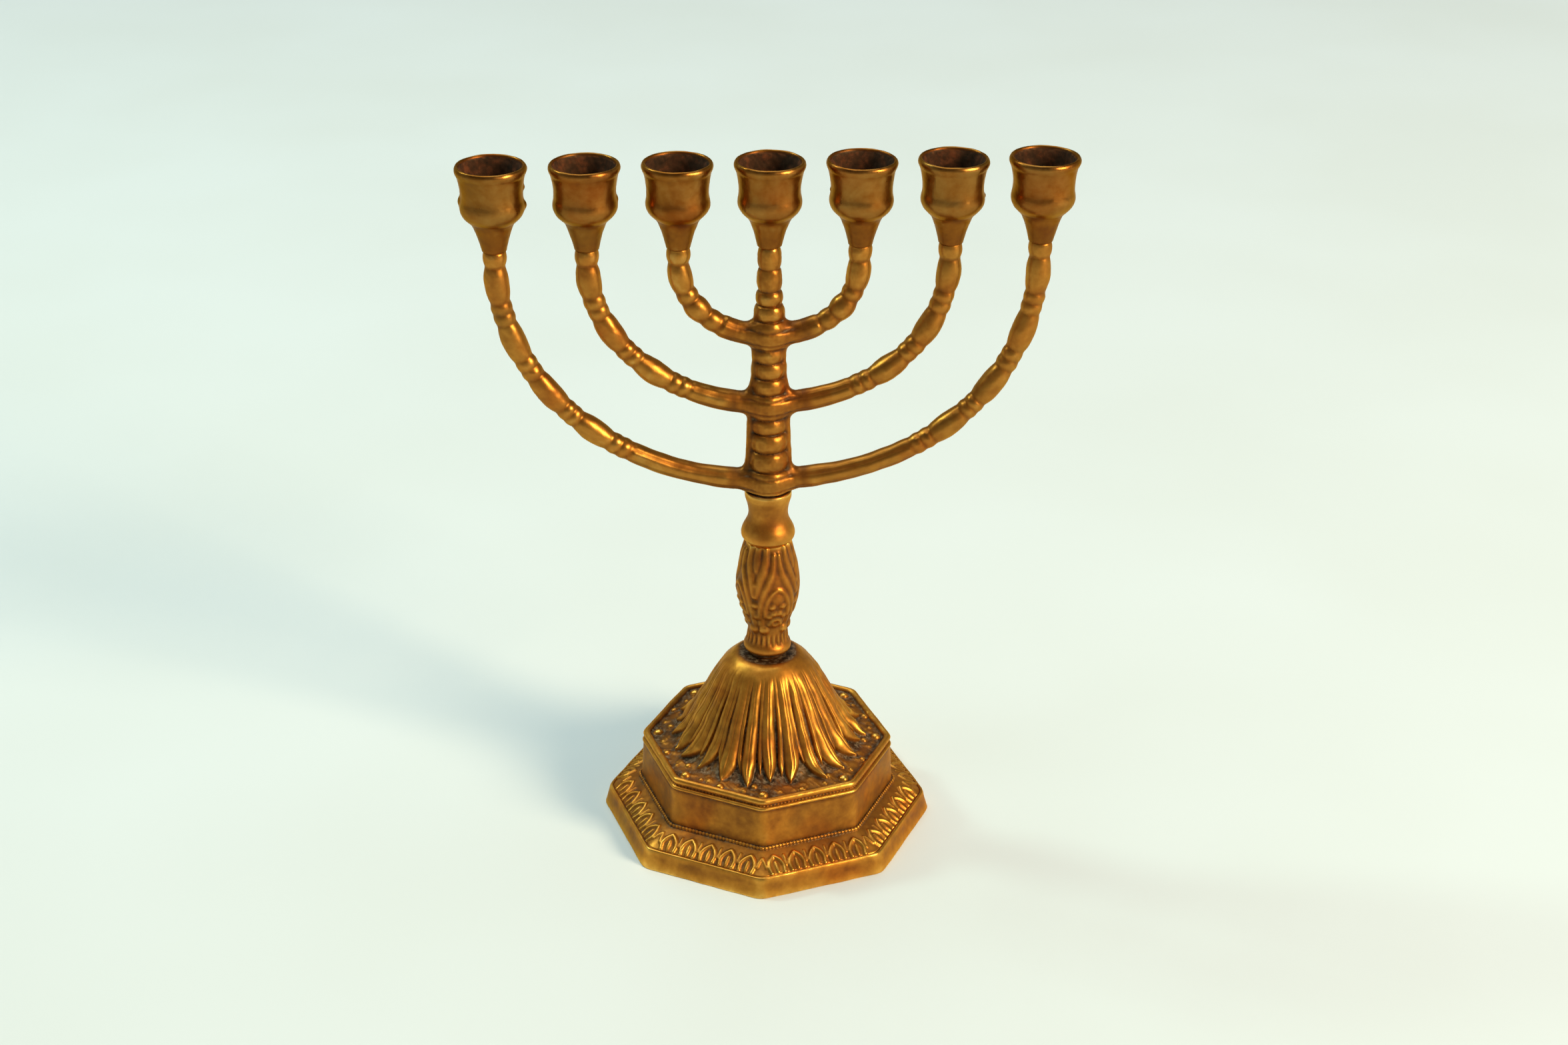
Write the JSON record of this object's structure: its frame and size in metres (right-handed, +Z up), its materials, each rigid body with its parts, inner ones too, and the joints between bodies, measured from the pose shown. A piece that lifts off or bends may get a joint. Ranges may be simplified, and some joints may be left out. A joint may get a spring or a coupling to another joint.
{
  "type": "menorah",
  "caption": "Branched cast-brass candelabrum with cups in a row on curved branches, a turned and leaf-cast stem, and a hollow octagonal foot held by a tie rod.",
  "frame": {"origin": "on the floor, under the middle of the foot", "axes": "+Z up along the column; +X along the row of cups, to the right as the picture shows it; -Y towards the viewer"},
  "size_m": [0.1472, 0.0864, 0.18],
  "materials": {
    "foot_brass": "aged cast brass, polished on its ridges and dark in its hollows",
    "stem_brass": "aged cast brass, satin, with dark hollows",
    "head_brass": "aged cast brass, satin, worn bright on its beads and rims",
    "zinc_steel": "dull zinc plate"
  },
  "bodies": {
    "foot": {"foot_casting": "foot_brass"},
    "stem": {"stem_vase": "stem_brass", "stem_collar": "stem_brass"},
    "head": {"centre_column": "head_brass", "branch_inner_left": "head_brass", "branch_inner_right": "head_brass", "branch_middle_left": "head_brass", "branch_middle_right": "head_brass", "branch_outer_left": "head_brass", "branch_outer_right": "head_brass", "candle_cup_1": "head_brass", "candle_cup_2": "head_brass", "candle_cup_3": "head_brass", "candle_cup_4": "head_brass", "candle_cup_5": "head_brass", "candle_cup_6": "head_brass", "candle_cup_7": "head_brass", "tie_rod": "zinc_steel", "washer": "zinc_steel", "hex_nut": "zinc_steel"}
  },
  "joints": [
    {"name": "stem_turn", "type": "hinge", "parent": "foot", "child": "stem", "pos_m": [0, 0, 0.0475], "axis": [0, 0, 1], "continuous": true},
    {"name": "head_turn", "type": "hinge", "parent": "stem", "child": "head", "pos_m": [0, 0, 0.0942], "axis": [0, 0, 1], "continuous": true}
  ]
}
